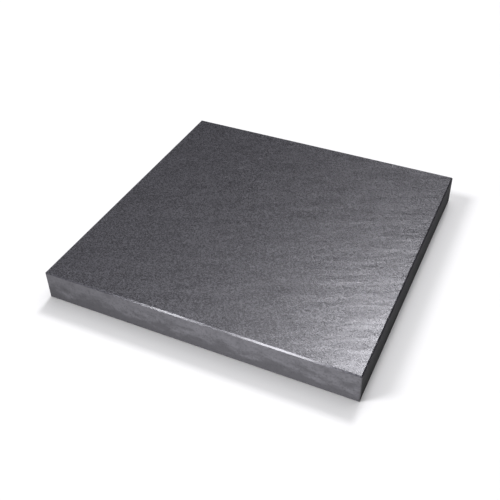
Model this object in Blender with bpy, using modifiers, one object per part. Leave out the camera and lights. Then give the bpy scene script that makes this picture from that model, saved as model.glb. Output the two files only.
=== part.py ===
"""Granite slab for leatherworking, made as one block of dark stone.

The block is sawn square and lies flat on its underside. Its upper face is
ground flat and polished, and every edge is eased with a narrow chamfer, so
that the stone does not chip and the leather is not marked.

Metres, +Z up. The origin is the middle of the underside. X runs along the
front edge, from left to right, and the front looks along -Y.
"""

import bmesh
import bpy
from mathutils import Matrix, Vector

# Overall size of the block.
SLAB_LENGTH = 0.300
SLAB_WIDTH = 0.300
SLAB_THICKNESS = 0.030

# Width of each chamfer, measured along the two faces that it cuts.
TOP_CHAMFER = 0.0012
BOTTOM_CHAMFER = 0.0008
CORNER_CHAMFER = 0.0008

# Finish of the stone: nearly black, a little cool, with a satin polish.
STONE_COLOUR = (0.066, 0.066, 0.071, 1.0)
STONE_ROUGHNESS = 0.35
STONE_METALLIC = 0.0

# A direction closer to upright than this counts as a vertical edge.
UPRIGHT = 0.99


def clear_scene():
    """Removes whatever the file opened with."""
    for old in list(bpy.data.objects):
        bpy.data.objects.remove(old, do_unlink=True)


def new_collection(name):
    """A collection of its own under the scene, to hold the parts."""
    collection = bpy.data.collections.new(name)
    bpy.context.scene.collection.children.link(collection)
    return collection


def granite_material():
    """The stone's plain colour and gloss."""
    granite = bpy.data.materials.new("black_granite")
    granite.use_nodes = True
    shader = granite.node_tree.nodes["Principled BSDF"]
    shader.inputs["Base Color"].default_value = STONE_COLOUR
    shader.inputs["Roughness"].default_value = STONE_ROUGHNESS
    shader.inputs["Metallic"].default_value = STONE_METALLIC
    granite.diffuse_color = STONE_COLOUR
    return granite


def chamfer_of(edge):
    """The width of the chamfer that this edge of the sawn block gets."""
    start, end = (vertex.co for vertex in edge.verts)
    direction = (end - start).normalized()
    if abs(direction.z) > UPRIGHT:
        return CORNER_CHAMFER
    if start.z > SLAB_THICKNESS / 2:
        return TOP_CHAMFER
    return BOTTOM_CHAMFER


def sawn_block(name, widest_chamfer):
    """The square block as it leaves the saw, with each edge weighted by its chamfer."""
    mesh = bpy.data.meshes.new(name)
    shape = bmesh.new()
    bmesh.ops.create_cube(shape, size=1.0)
    sizes = Vector((SLAB_LENGTH, SLAB_WIDTH, SLAB_THICKNESS))
    bmesh.ops.scale(shape, vec=sizes, verts=shape.verts)
    lift = Matrix.Translation((0.0, 0.0, SLAB_THICKNESS / 2))
    bmesh.ops.transform(shape, matrix=lift, verts=shape.verts)
    weight = shape.edges.layers.float.new("bevel_weight_edge")
    for edge in shape.edges:
        edge[weight] = chamfer_of(edge) / widest_chamfer
    shape.to_mesh(mesh)
    shape.free()
    return bpy.data.objects.new(name, mesh)


def granite_slab(collection):
    """The finished slab: the sawn block with its edges eased."""
    widest_chamfer = max(TOP_CHAMFER, BOTTOM_CHAMFER, CORNER_CHAMFER)
    slab = sawn_block("granite_slab", widest_chamfer)
    collection.objects.link(slab)
    slab.data.materials.append(granite_material())
    eased = slab.modifiers.new("eased_edges", "BEVEL")
    eased.limit_method = "WEIGHT"
    eased.width = widest_chamfer
    eased.segments = 1
    eased.use_clamp_overlap = False
    return slab


clear_scene()
granite_slab(new_collection("leatherworking_granite_slab"))
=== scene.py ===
# %% [markdown]
# # A granite slab for leatherwork
#
# A leatherworker's granite slab is a heavy, dead flat block of dark stone. Leather is laid on
# it to be stamped, punched or skived, because the stone does not bounce or give. A mason saws
# it out of a larger sheet, grinds and polishes the upper face, and takes the sharpness off the
# edges with a few strokes of a diamond pad. It has no feet, no handle and nothing that moves,
# so the whole object is one piece of stone.
#
# This lesson starts from the CAD block, which fixes the size and the place. Everything below
# adds what a plain block does not have: the polish, the crystals and the worn edges.

# %% Load the CAD model and measure it
import math

import bmesh
import bpy
from mathutils import Matrix, Vector


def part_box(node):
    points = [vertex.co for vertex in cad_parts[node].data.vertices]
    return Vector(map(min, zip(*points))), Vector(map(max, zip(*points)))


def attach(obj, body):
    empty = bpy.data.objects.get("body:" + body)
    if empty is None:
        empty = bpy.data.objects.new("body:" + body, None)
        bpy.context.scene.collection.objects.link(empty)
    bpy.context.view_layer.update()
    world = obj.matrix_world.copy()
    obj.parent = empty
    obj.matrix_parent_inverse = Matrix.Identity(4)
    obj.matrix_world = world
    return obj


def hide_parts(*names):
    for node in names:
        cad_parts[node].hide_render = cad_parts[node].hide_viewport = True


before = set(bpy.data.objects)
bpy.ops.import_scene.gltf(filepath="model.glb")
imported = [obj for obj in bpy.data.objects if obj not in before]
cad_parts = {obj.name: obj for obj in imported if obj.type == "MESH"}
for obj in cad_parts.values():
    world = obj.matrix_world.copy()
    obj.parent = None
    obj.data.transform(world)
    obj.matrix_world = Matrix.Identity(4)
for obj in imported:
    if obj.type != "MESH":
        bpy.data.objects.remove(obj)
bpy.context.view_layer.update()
stone_low, stone_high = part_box("granite_slab")
stone_size = stone_high - stone_low
stone_middle = (stone_low + stone_high) / 2
print("CAD block, millimetres:", [round(side * 1000, 2) for side in stone_size])

# %% [markdown]
# ## The sawn block
#
# The mason's first step is a block cut to size. In Blender that is a cube, scaled to the three
# measured sides and moved to where the CAD block stands. The scale is applied straight away,
# so that one unit in the mesh is one metre and every later size is a true size.
#
# An operator acts on all that is selected, and loading leaves the CAD block selected, so
# everything is deselected before the cube is added. The helper does the same later on.

# %% Saw the block


def select_only(thing):
    """Leaves one object selected and active, so the next operator acts on nothing else."""
    bpy.ops.object.select_all(action="DESELECT")
    thing.select_set(True)
    bpy.context.view_layer.objects.active = thing


bpy.ops.object.select_all(action="DESELECT")
bpy.ops.mesh.primitive_cube_add(size=1, location=stone_middle, scale=stone_size)
stone = bpy.context.object
stone.name = "granite_stone"
stone.data.name = "granite_stone"
bpy.ops.object.transform_apply(location=True, rotation=True, scale=True)
print("sawn block:", len(stone.data.polygons), "faces")

# %% [markdown]
# ## Eased edges
#
# A sharp granite edge chips at the first knock, so all twelve edges are eased. The upper edge
# gets the widest flat, because hands and tools pass over it. The bottom edges and the four
# upright corners get a little less.
#
# The Bevel modifier does all of them together. Each edge carries a bevel weight, and the
# modifier's width times that weight is the edge's own width. The three widths are the same as
# in the CAD block, so both meshes have one outline.

# %% Ease the twelve edges
TOP_EASE = 0.0012
BOTTOM_EASE = 0.0008
CORNER_EASE = 0.0008
EDGE_NEAR = 1e-5


def edge_ease(first, second):
    """How wide an edge of the block is eased, from where its two ends are."""
    if abs(first.z - second.z) > EDGE_NEAR:
        return CORNER_EASE
    return TOP_EASE if first.z > stone_middle.z else BOTTOM_EASE


weights = stone.data.attributes.new("bevel_weight_edge", "FLOAT", "EDGE")
for edge in stone.data.edges:
    ends = [stone.data.vertices[corner].co for corner in edge.vertices]
    weights.data[edge.index].value = edge_ease(*ends) / TOP_EASE

easing = stone.modifiers.new("eased edges", "BEVEL")
easing.limit_method = "WEIGHT"
easing.width = TOP_EASE
easing.segments = 1
easing.use_clamp_overlap = False
select_only(stone)
bpy.ops.object.modifier_apply(modifier=easing.name)
print("eased block:", len(stone.data.polygons), "faces")

# %% [markdown]
# ## A fine grid for the surface
#
# Hand polishing never leaves a mathematical plane. To model that in the mesh, the big flat
# faces need points to move. The long edges are cut in three turns, one for each direction, so
# every face becomes a regular grid of squares about two millimetres wide.
#
# The subdivide operator makes 100 cuts at most, and two millimetres needs more, so each turn
# cuts the edges into long pieces first and then cuts every piece again.

# %% Cut the faces into a grid
GRID_STEP = 0.002
FIRST_CUTS = 4
ALONG_AXIS = 0.999


def open_mesh(thing, kind):
    """Puts one object in edit mode with nothing selected, and returns its edit mesh."""
    select_only(thing)
    bpy.ops.object.mode_set(mode="EDIT")
    bpy.ops.mesh.select_mode(type=kind)
    bpy.ops.mesh.select_all(action="DESELECT")
    return bmesh.from_edit_mesh(thing.data)


def cut_edges_along(axis, shortest, cuts):
    """Cuts every edge that runs along one axis and is longer than the given length."""
    shape = open_mesh(stone, "EDGE")
    for edge in shape.edges:
        run = edge.verts[1].co - edge.verts[0].co
        edge.select_set(run.length > shortest and abs(run.normalized()[axis]) > ALONG_AXIS)
    bmesh.update_edit_mesh(stone.data)
    bpy.ops.mesh.subdivide(number_cuts=cuts)
    bpy.ops.object.mode_set(mode="OBJECT")


for axis, length in enumerate(stone_size):
    long_piece = length / (FIRST_CUTS + 1)
    cut_edges_along(axis, length / 2, FIRST_CUTS)
    cut_edges_along(axis, long_piece / 2, round(long_piece / GRID_STEP) - 1)
print("gridded block:", len(stone.data.polygons), "faces")

# %% [markdown]
# ## Where each kind of work was done
#
# Polishing, rubbing down, sawing and knocks each touch their own part of the stone. Vertex
# groups hold those four parts. A point is sorted by its place alone: how deep it lies under
# the upper face, and how far in from the nearest side.

# %% Group the points
def from_top(spot):
    """How deep a point lies under the upper face."""
    return stone_high.z - spot.z


def from_bottom(spot):
    """How high a point lies above the underside."""
    return spot.z - stone_low.z


def from_side(spot):
    """How far a point is from the nearest of the four sides."""
    along_x = min(spot.x - stone_low.x, stone_high.x - spot.x)
    along_y = min(spot.y - stone_low.y, stone_high.y - spot.y)
    return min(along_x, along_y)


def on_edge_line(spot):
    """True for the points of the eased upper edge."""
    near_top = from_top(spot) < TOP_EASE + EDGE_NEAR
    return near_top and from_side(spot) < TOP_EASE + EDGE_NEAR


def on_polished_face(spot):
    """True for the upper face inside its eased edge."""
    return from_top(spot) < EDGE_NEAR and from_side(spot) > TOP_EASE + EDGE_NEAR


def on_sawn_side(spot):
    """True for the four sides between their eased edges."""
    above_low_edge = from_bottom(spot) > BOTTOM_EASE + EDGE_NEAR
    below_top_edge = from_top(spot) > TOP_EASE + EDGE_NEAR
    return above_low_edge and below_top_edge and from_side(spot) < EDGE_NEAR


def on_underside(spot):
    """True for the lower face inside its eased edge."""
    return from_bottom(spot) < EDGE_NEAR and from_side(spot) > BOTTOM_EASE + EDGE_NEAR


def gather_points(name, belongs):
    """Makes a vertex group of the points that pass a test of place, and returns its name."""
    chosen = [point.index for point in stone.data.vertices if belongs(point.co)]
    stone.vertex_groups.new(name=name).add(chosen, 1.0, "REPLACE")
    print(name, "has", len(chosen), "points")
    return name


polished = gather_points("polished face", on_polished_face)
sides = gather_points("sawn sides", on_sawn_side)
underside = gather_points("sawn underside", on_underside)
edge_line = gather_points("upper edge", on_edge_line)

# %% [markdown]
# ## Grinding, sawing and handling
#
# Four Displace modifiers shape the stone. Each one moves only its own group of points, along
# their own normals, by a soft pattern. The middle level is set to 1, so the stone only ever
# loses material and never grows past its measured size.
#
# * The polished face keeps hundredths of a millimetre of unevenness from the polishing head.
#   The eye cannot see the height, but the gloss follows every slope.
# * The four sides are sawn and rubbed down, which leaves a slightly softer ripple.
# * The underside is left as the saw left it, with long faint bands.
# * The eased edges take the knocks, so their width wanders a little.

# %% Wear the stone away
HEAD_SIZE, HEAD_DEPTH = 0.020, 0.00006
RUB_SIZE, RUB_DEPTH = 0.012, 0.00010
BAND_SIZE, BAND_DEPTH = 0.020, 0.00012
KNOCK_SIZE, KNOCK_DEPTH = 0.016, 0.00004
BAND_WANDER = 0.4


def soft_pattern(name, size, detail=2):
    """A cloud pattern whose lumps are about the given size across."""
    pattern = bpy.data.textures.new(name, "CLOUDS")
    pattern.noise_scale = size
    pattern.noise_depth = detail
    return pattern


def wear_away(group, pattern, depth):
    """Takes up to the given depth off the points of one group, following a pattern."""
    wear = stone.modifiers.new(group, "DISPLACE")
    wear.texture = pattern
    wear.texture_coords = "LOCAL"
    wear.vertex_group = group
    wear.direction = "NORMAL"
    wear.mid_level = 1.0
    wear.strength = depth
    select_only(stone)
    bpy.ops.object.modifier_apply(modifier=wear.name)
    print(group, "worn by up to", round(depth * 1000, 3), "mm")


saw_bands = bpy.data.textures.new("saw bands", "WOOD")
saw_bands.wood_type = "BANDNOISE"
saw_bands.noise_scale = BAND_SIZE
saw_bands.turbulence = BAND_WANDER

wear_away(polished, soft_pattern("polishing head", HEAD_SIZE, detail=1), HEAD_DEPTH)
wear_away(sides, soft_pattern("rubbed down", RUB_SIZE), RUB_DEPTH)
wear_away(underside, saw_bands, BAND_DEPTH)
wear_away(edge_line, soft_pattern("knocks", KNOCK_SIZE), KNOCK_DEPTH)

# %% [markdown]
# ## Crisp where it is ground, soft where it is worn
#
# The eased edges meet the faces at 45 degrees, and that line has to stay crisp. Within a face
# the grid has to look continuous. Shading smooth only below an angle gives both.

# %% Shade by angle
CRISP_ANGLE = math.radians(20)

select_only(stone)
bpy.ops.object.shade_smooth_by_angle(angle=CRISP_ANGLE)
places = [point.co for point in stone.data.vertices]
for axis, letter in enumerate("XYZ"):
    along = [place[axis] * 1000 for place in places]
    print("worn block on", letter, "from", round(min(along), 3), "to", round(max(along), 3), "mm")

# %% [markdown]
# ## The stone itself
#
# Black granite is a mesh of crystals about a millimetre across: nearly black pyroxene, dark
# grey feldspar and a few pale flecks. How it looks depends on how far it was worked. Polished,
# it is dark and glossy. Rubbed down with a pad, which masons call honed, it is matt and mid
# grey, because it scatters light at its surface. Left from the saw, it is matt and lined.
#
# An image could be wrapped round the block instead, but it would stretch and show seams at
# the edges. Here every pattern is worked out from Object coordinates, as if it ran through the
# solid. It needs no unwrapping, and it turns the corner of the block as real crystals do.
#
# The helpers below each add one or two shader nodes, so that a finish reads like a recipe.

# %% Helpers that start a finish
STONE_IOR = 1.5
STONE_TINT = (1.0, 0.99, 1.10)
MATT_TINT = (1.0, 0.99, 1.035)


def start_material(name):
    """A material with one Principled shader, the pattern coordinates, and nothing else."""
    material = bpy.data.materials.new(name)
    material.use_nodes = True
    nodes = material.node_tree.nodes
    nodes.clear()
    output = nodes.new("ShaderNodeOutputMaterial")
    shader = nodes.new("ShaderNodeBsdfPrincipled")
    material.node_tree.links.new(shader.outputs["BSDF"], output.inputs["Surface"])
    place = nodes.new("ShaderNodeTexCoord").outputs["Object"]
    return material, shader, place


def set_input(node, socket, value):
    """Sets a number or a colour on a socket, or joins another node's output to it."""
    if isinstance(value, bpy.types.NodeSocket):
        node.id_data.links.new(value, node.inputs[socket])
    else:
        node.inputs[socket].default_value = value


def tone(level, tint=STONE_TINT):
    """A stone grey of this brightness, a touch cooler in the blue."""
    return (*(level * part for part in tint), 1.0)


def matt_tone(level):
    """The same grey on a face without gloss, where the blue hardly shows."""
    return tone(level, MATT_TINT)


# %% [markdown]
# ## Arithmetic on patterns
#
# A pattern is only a number, or a direction, for each spot of the stone. A finish adds such
# patterns, scales them, and turns the result into a colour or a roughness. One helper stands
# for each of those steps. The nodes could also be placed by hand in the Shader Editor.

# %% Helpers for arithmetic
CLOUD_LOW, CLOUD_HIGH = 0.3, 0.7


def combine(operation, first, second):
    """One step of arithmetic on two numbers."""
    node = first.node.id_data.nodes.new("ShaderNodeMath")
    node.operation = operation
    set_input(node, 0, first)
    set_input(node, 1, second)
    return node.outputs["Value"]


def combine_vectors(operation, first, second):
    """One step of arithmetic on two directions or colours."""
    node = first.node.id_data.nodes.new("ShaderNodeVectorMath")
    node.operation = operation
    set_input(node, 0, first)
    set_input(node, "Scale" if operation == "SCALE" else 1, second)
    return node.outputs["Vector"]


def stretch(value, low, high, new_low=0.0, new_high=1.0, smooth=False):
    """Maps one range of values to another and keeps the result inside it."""
    node = value.node.id_data.nodes.new("ShaderNodeMapRange")
    if smooth:
        node.interpolation_type = "SMOOTHSTEP"
    set_input(node, "Value", value)
    set_input(node, "From Min", low)
    set_input(node, "From Max", high)
    set_input(node, "To Min", new_low)
    set_input(node, "To Max", new_high)
    return node.outputs["Result"]


def spread(cloud, new_low=0.0, new_high=1.0):
    """Stretches a cloud pattern, which seldom leaves its middle range, over a new range."""
    return stretch(cloud, CLOUD_LOW, CLOUD_HIGH, new_low, new_high)


def blend_colours(amount, first, second):
    """Goes from the first colour to the second as the amount goes from 0 to 1."""
    node = amount.node.id_data.nodes.new("ShaderNodeMix")
    node.data_type = "RGBA"
    set_input(node, 0, amount)
    set_input(node, 6, first)
    set_input(node, 7, second)
    return node.outputs[2]


# %% [markdown]
# ## Crystals and clouds
#
# Two patterns are enough for this stone. Voronoi fills space with cells, as crystals do, and
# gives each cell its own random colour, which serves as a random number or direction. Noise
# gives soft clouds. A Mapping node draws a pattern out in one direction, and a Bump node turns
# it into small slopes, which is lighter than a mesh fine enough to hold every crystal.

# %% Helpers for patterns
def crystals(place, width):
    """Fills the stone with crystals about this wide, and gives each a random colour."""
    node = place.node.id_data.nodes.new("ShaderNodeTexVoronoi")
    set_input(node, "Vector", place)
    set_input(node, "Scale", 1 / width)
    return node.outputs["Color"]


def random_number(crystal):
    """A number from 0 to 1 for each crystal, from its random colour."""
    node = crystal.node.id_data.nodes.new("ShaderNodeSeparateColor")
    set_input(node, "Color", crystal)
    return node.outputs["Red"]


def random_way(crystal):
    """A direction for each crystal, from its random colour."""
    return combine_vectors("SUBTRACT", crystal, (0.5, 0.5, 0.5))


def clouds(place, width, detail=2.0, roughness=0.5):
    """A soft pattern from 0 to 1 with lumps about the given width."""
    node = place.node.id_data.nodes.new("ShaderNodeTexNoise")
    set_input(node, "Vector", place)
    set_input(node, "Scale", 1 / width)
    set_input(node, "Detail", detail)
    set_input(node, "Roughness", roughness)
    return node.outputs["Fac"]


def longer(place, turn, lengths):
    """Makes a pattern longer along X, Y and Z by these factors, with X turned by some degrees."""
    node = place.node.id_data.nodes.new("ShaderNodeMapping")
    node.vector_type = "TEXTURE"
    set_input(node, "Vector", place)
    set_input(node, "Rotation", (0.0, 0.0, math.radians(turn)))
    set_input(node, "Scale", lengths)
    return node.outputs["Vector"]


def relief(height, depth):
    """Tilts the shading as if the surface had this height pattern of the given depth."""
    node = height.node.id_data.nodes.new("ShaderNodeBump")
    set_input(node, "Strength", 1.0)
    set_input(node, "Distance", depth)
    set_input(node, "Height", height)
    return node.outputs["Normal"]


# %% [markdown]
# ## The polish
#
# Two sizes of crystal are laid over each other. Their random number sets two things at once:
# a paler crystal is also a little rougher. Each crystal is tilted by a degree or so as well,
# because soft and hard minerals don't wear down alike. The tilt is what makes single crystals
# glint where the sheen is bright.
#
# The polishing head also leaves long shallow sweeps. They can't be seen in the dark part, but
# they streak the sheen. They are a cloud pattern drawn out to three and a half times its width.
#
# The eased edge is polished too, by hand and with a finer pad. It is smoother and almost
# without grain, so a lamp draws a thin clean line along it. Both come from one function.

# %% The polished finishes
CRYSTAL_WIDTHS = (0.0010, 0.0006)
BODY_TONES = (0.026, 0.031)
PALE_TONE, PALE_FROM, PALE_FULL = 0.056, 0.50, 0.90
DARK_TONE, DARK_FROM, DARK_FULL = 0.014, 0.50, 0.15
DRIFT_WIDTH = 0.030
GLOSS_DRIFT = 0.010
SWEEP_WIDTH = 0.011
SWEEP_TURN = 25
SWEEP_LENGTHS = (3.5, 1.0, 1.0)


def polished_finish(name, roughness, uneven_gloss, crystal_tilt, sweep_depth):
    """Polished granite: crystals, a gloss that differs between them, and shallow sweeps."""
    material, shader, place = start_material(name)
    coarse, fine = [crystals(place, width) for width in CRYSTAL_WIDTHS]
    both_numbers = combine("ADD", random_number(coarse), random_number(fine))
    grain = combine("MULTIPLY", both_numbers, 0.5)
    drift = clouds(place, DRIFT_WIDTH, detail=3.0)

    body = blend_colours(spread(drift), tone(BODY_TONES[0]), tone(BODY_TONES[1]))
    pale = stretch(grain, PALE_FROM, PALE_FULL)
    dark = stretch(grain, DARK_FROM, DARK_FULL)
    with_pale = blend_colours(pale, body, tone(PALE_TONE))
    with_dark = blend_colours(dark, with_pale, tone(DARK_TONE))
    set_input(shader, "Base Color", with_dark)

    by_crystal = stretch(grain, 0.0, 1.0, -uneven_gloss, uneven_gloss)
    by_place = spread(drift, roughness - GLOSS_DRIFT, roughness + GLOSS_DRIFT)
    set_input(shader, "Roughness", combine("ADD", by_crystal, by_place))
    set_input(shader, "IOR", STONE_IOR)

    sweeps = clouds(longer(place, SWEEP_TURN, SWEEP_LENGTHS), SWEEP_WIDTH)
    both_ways = combine_vectors("ADD", random_way(coarse), random_way(fine))
    tilts = combine_vectors("SCALE", both_ways, crystal_tilt)
    tilted = combine_vectors("ADD", relief(sweeps, sweep_depth), tilts)
    set_input(shader, "Normal", combine_vectors("NORMALIZE", tilted, (0, 0, 0)))
    print(name, "has", len(material.node_tree.nodes), "nodes")
    return material


polished_face = polished_finish(
    "polished granite", roughness=0.27, uneven_gloss=0.044, crystal_tilt=0.029, sweep_depth=0.00025
)
polished_edge = polished_finish(
    "polished edge", roughness=0.14, uneven_gloss=0.008, crystal_tilt=0.003, sweep_depth=0.00002
)

# %% [markdown]
# ## The honed sides
#
# The four sides are matt. Their colour is paler in their upper part and darker towards the
# bottom, in cloudy marks. The border between the two wanders: the height above the bench is
# taken from the Z coordinate, and a cloud pattern is added to it before it is compared with a
# level.
# Lumps and dark specks lie over both, and hide at most half of what is under them.

# %% The honed finish
LOW_MARK, HIGH_MARK, MARK_WANDER = 0.006, 0.022, 0.010
PLAIN_TONES = (0.051, 0.063)
LOWER_TONE = 0.038
LUMP_TONE, LUMP_WIDTH, LUMP_FROM, LUMP_FULL = 0.034, 0.0035, 0.50, 0.75
SPECK_TONE, SPECK_WIDTH, HONED_SPECK_FROM = 0.026, 0.0012, 0.65
HALF_HIDDEN = 0.5
PATCH_WIDTH, PATCH_DEPTH = 0.007, 0.00003
PATCH_LENGTHS = (2.2, 2.2, 1.0)
RUGGED = 0.6
HONED_ROUGHNESS = (0.80, 0.88)
MATT_SPECULAR = 0.1

honed, shader, place = start_material("honed granite")
patches = clouds(longer(place, 0, PATCH_LENGTHS), PATCH_WIDTH, detail=3.0, roughness=RUGGED)
lumps = clouds(place, LUMP_WIDTH, roughness=RUGGED)
flecks = random_number(crystals(place, SPECK_WIDTH))
height = honed.node_tree.nodes.new("ShaderNodeSeparateXYZ")
set_input(height, "Vector", place)

# The sides are darker towards the bottom, below a wandering cloudy border.
uneven = combine("ADD", height.outputs["Z"], spread(patches, -MARK_WANDER, MARK_WANDER))
low_down = stretch(uneven, HIGH_MARK, LOW_MARK, smooth=True)
plain = blend_colours(spread(patches), matt_tone(PLAIN_TONES[0]), matt_tone(PLAIN_TONES[1]))
darker_below = blend_colours(low_down, plain, matt_tone(LOWER_TONE))
blotches = stretch(lumps, LUMP_FROM, LUMP_FULL, 0.0, HALF_HIDDEN)
blotched = blend_colours(blotches, darker_below, matt_tone(LUMP_TONE))
specks = stretch(flecks, HONED_SPECK_FROM, 1.0, 0.0, HALF_HIDDEN)
set_input(shader, "Base Color", blend_colours(specks, blotched, matt_tone(SPECK_TONE)))
set_input(shader, "Roughness", spread(patches, *HONED_ROUGHNESS))
set_input(shader, "IOR", STONE_IOR)
set_input(shader, "Specular IOR Level", MATT_SPECULAR)
set_input(shader, "Normal", relief(patches, PATCH_DEPTH))
print(honed.name, "has", len(honed.node_tree.nodes), "nodes")

# %% [markdown]
# ## The sawn underside
#
# Nobody polishes the face that lies on the bench. The saw leaves it dusty and matt, with fine
# straight lines along its cut. They are the same kind of cloud pattern as the sweeps on top,
# drawn out much further.

# %% The sawn finish
SAW_LENGTHS = (30.0, 1.0, 1.0)
SAW_LINE_WIDTH, SAW_LINE_DEPTH = 0.004, 0.00010
DUSTY_TONES = (0.040, 0.066)
SAWN_SPECK_FROM = 0.75
SAWN_ROUGHNESS = (0.84, 0.92)

sawn, shader, place = start_material("sawn granite")
drawn_out = longer(place, 0, SAW_LENGTHS)
saw_lines = clouds(drawn_out, SAW_LINE_WIDTH, detail=3.0, roughness=RUGGED)
flecks = random_number(crystals(place, SPECK_WIDTH))
dusty = blend_colours(spread(saw_lines), matt_tone(DUSTY_TONES[0]), matt_tone(DUSTY_TONES[1]))
specks = stretch(flecks, SAWN_SPECK_FROM, 1.0, 0.0, HALF_HIDDEN)
set_input(shader, "Base Color", blend_colours(specks, dusty, matt_tone(SPECK_TONE)))
set_input(shader, "Roughness", spread(saw_lines, *SAWN_ROUGHNESS))
set_input(shader, "IOR", STONE_IOR)
set_input(shader, "Specular IOR Level", MATT_SPECULAR)
set_input(shader, "Normal", relief(saw_lines, SAW_LINE_DEPTH))
print(sawn.name, "has", len(sawn.node_tree.nodes), "nodes")

# %% [markdown]
# ## Which face has which finish
#
# Each face of the mesh keeps the number of its material. The direction that a face looks in
# says what it is: straight up is the polished face, slanting up is the eased edge round it,
# straight down is the underside, and all the rest are sides.

# %% Give each face its finish
HONED, POLISHED_FACE, POLISHED_EDGE, SAWN = range(4)
LOOKS_STRAIGHT = 0.95
LOOKS_SLANTED = 0.3

stone.data.materials.clear()
for finish in (honed, polished_face, polished_edge, sawn):
    stone.data.materials.append(finish)


def finish_number(facing):
    """Which finish a face gets, from the direction it looks in."""
    if facing.z > LOOKS_STRAIGHT:
        return POLISHED_FACE
    if facing.z > LOOKS_SLANTED:
        return POLISHED_EDGE
    return SAWN if facing.z < -LOOKS_STRAIGHT else HONED


for face in stone.data.polygons:
    face.material_index = finish_number(face.normal)
for number, finish in enumerate(stone.data.materials):
    count = sum(face.material_index == number for face in stone.data.polygons)
    print(finish.name, "is on", count, "faces")

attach(stone, "root")
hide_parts("granite_slab")

# %% [markdown]
# ## The studio
#
# The slab lies on a sheet of white paper that runs out of sight. It is part of the studio and
# not of the object.

# %% Floor
FLOOR_SIZE = 30
PAPER_WHITE = (0.81, 0.815, 0.78, 1.0)

bpy.ops.object.select_all(action="DESELECT")
bpy.ops.mesh.primitive_plane_add(size=FLOOR_SIZE, location=(0, 0, stone_low.z))
floor = bpy.context.object
floor.name = "studio_floor"
paper, shader, _ = start_material("white paper")
set_input(shader, "Base Color", PAPER_WHITE)
set_input(shader, "Roughness", 1.0)
set_input(shader, "Specular IOR Level", 0.0)
floor.data.materials.append(paper)
print("paper:", FLOOR_SIZE, "metres square")

# %% [markdown]
# ## The lamps
#
# Dark polished stone shows the lamps more than its own colour. Sun lamps are used because they
# don't fade with distance, so the paper stays evenly white. A Sun lamp's angle is how large it
# looks from the stone: wide gives soft shadows and a broad sheen, narrow gives crisp ones.
#
# * The overhead lamp is very wide and lights everything softly.
# * The window stands behind the slab. Its mirror image is the sheen on the polished face.
# * The side lamp comes from the front left and fills in the shadows of the other two.
# * The far left lamp is weak, and lifts the dark end of the polished face.
# * The two narrow edge lights each draw a stretch of the bright line along the eased edge.
#
# In a studio, a black flag is hung beside a lamp to keep its light off the backdrop. In
# Blender that is light linking: a flagged lamp only reaches the collection it is given.

# %% Lamps that are far away
LAMPS = (  # name, turn, height and width in degrees, strength, flagged
    ("overhead", 0.0, 70.0, 60.0, 1.800, False),
    ("window behind", -6.0, 52.0, 12.0, 1.354, False),
    ("side", -125.0, 44.0, 20.0, 1.830, False),
    ("far left", -45.0, 45.0, 30.0, 0.052, True),
    ("edge light one", -149.5, 36.3, 3.0, 0.088, True),
    ("edge light two", -160.0, 38.8, 6.0, 0.245, True),
)
LAMP_TINT = (0.985, 0.975, 1.04)

stone_only = bpy.data.collections.new("stone only")
stone_only.objects.link(stone)


def aim(lamp, away):
    """Turns a lamp so that it shines against the given direction."""
    lamp.rotation_mode = "QUATERNION"
    lamp.rotation_quaternion = away.to_track_quat("Z", "Y")


def hang_lamp(name, turn, height, width, strength, flagged):
    """A lamp far away. Turn goes clockwise from the back, height is above the floor."""
    bpy.ops.object.light_add(type="SUN", location=(0, 0, 1))
    lamp = bpy.context.object
    lamp.name = name
    turn, height = math.radians(turn), math.radians(height)
    outward = math.cos(height)
    aim(lamp, Vector((math.sin(turn) * outward, math.cos(turn) * outward, math.sin(height))))
    lamp.data.angle = math.radians(width)
    lamp.data.energy = strength
    lamp.data.color = LAMP_TINT
    if flagged:
        lamp.light_linking.receiver_collection = stone_only


for lamp in LAMPS:
    hang_lamp(*lamp)
print("lamps far away:", len(LAMPS))

# %% [markdown]
# ## The front fill
#
# The front side would be too dark, because every large lamp is above or behind it. A small
# round lamp low in front of its right end fills it in. It is close, so its light does fade
# towards the left end. It is kept out of reflections, where it would only show as a hot spot.

# %% Front fill
FILL_PLACE = Vector((0.14, -0.65, 0.12))
FILL_AIM = Vector((0.0, stone_low.y, stone_middle.z))
FILL_SIZE = 0.1
FILL_POWER = 7.62

bpy.ops.object.light_add(type="AREA", location=FILL_PLACE)
fill = bpy.context.object
fill.name = "front fill"
aim(fill, FILL_PLACE - FILL_AIM)
fill.data.shape = "DISK"
fill.data.size = FILL_SIZE
fill.data.energy = FILL_POWER
fill.data.color = LAMP_TINT
fill.visible_camera = False
fill.visible_glossy = False
fill.light_linking.receiver_collection = stone_only
print("front fill stands", round((FILL_PLACE - FILL_AIM).length, 2), "metres away")

# %% [markdown]
# ## The room
#
# The world light stands for the dim room around the lamps. The camera sees the room as plain
# white, so that the view runs on into white where the paper ends.

# %% Room light
ROOM_LIGHT = 0.02
WHITE = (1.0, 1.0, 1.0, 1.0)

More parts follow.
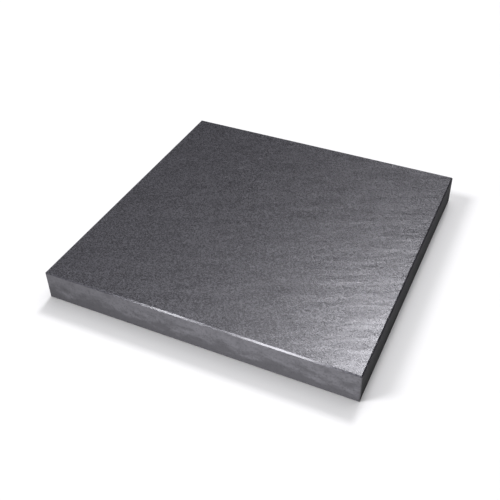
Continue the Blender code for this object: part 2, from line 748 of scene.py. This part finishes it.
room = bpy.data.worlds.new("pale room")
bpy.context.scene.world = room
room.use_nodes = True
nodes = room.node_tree.nodes
nodes.clear()
output = nodes.new("ShaderNodeOutputWorld")
path = nodes.new("ShaderNodeLightPath")
dim = nodes.new("ShaderNodeBackground")
white = nodes.new("ShaderNodeBackground")
mix = nodes.new("ShaderNodeMixShader")
set_input(dim, "Color", WHITE)
set_input(dim, "Strength", ROOM_LIGHT)
set_input(white, "Color", WHITE)
set_input(white, "Strength", 1.0)
set_input(mix, 0, path.outputs["Is Camera Ray"])
set_input(mix, 1, dim.outputs["Background"])
set_input(mix, 2, white.outputs["Background"])
set_input(output, "Surface", mix.outputs["Shader"])
print("room light:", ROOM_LIGHT)

# %% [markdown]
# ## The camera
#
# The camera stands in front of the slab, to the right and above, and looks down across the
# polished face. Three vectors place it: where it stands, which way it looks, and which way is
# its right. The way up follows from the last two.

# %% Camera
CAMERA_PLACE = Vector((0.2390, -0.5261, 0.4706))
CAMERA_AXIS = Vector((-0.3283, 0.7070, -0.6264))
CAMERA_RIGHT = Vector((0.9094, 0.4158, -0.0073))
CAMERA_LENS, CAMERA_SENSOR = 53.52, 36
CAMERA_SHIFT = -0.02
CAMERA_NEAR, CAMERA_FAR = 0.01, 100

bpy.ops.object.camera_add(location=CAMERA_PLACE)
camera = bpy.context.object
camera.name = "camera"
upward = CAMERA_RIGHT.cross(CAMERA_AXIS).normalized()
sideways = CAMERA_AXIS.cross(upward).normalized()
turned = Matrix((sideways, upward, -CAMERA_AXIS.normalized())).transposed()
camera.rotation_mode = "QUATERNION"
camera.rotation_quaternion = turned.to_quaternion()
camera.data.sensor_width = CAMERA_SENSOR
camera.data.lens = CAMERA_LENS
camera.data.shift_x = CAMERA_SHIFT
camera.data.shift_y = CAMERA_SHIFT
camera.data.clip_start = CAMERA_NEAR
camera.data.clip_end = CAMERA_FAR
bpy.context.scene.camera = camera
bpy.context.scene.view_settings.view_transform = "Standard"
print("camera stands", round((CAMERA_PLACE - stone_middle).length, 2), "metres from the slab")
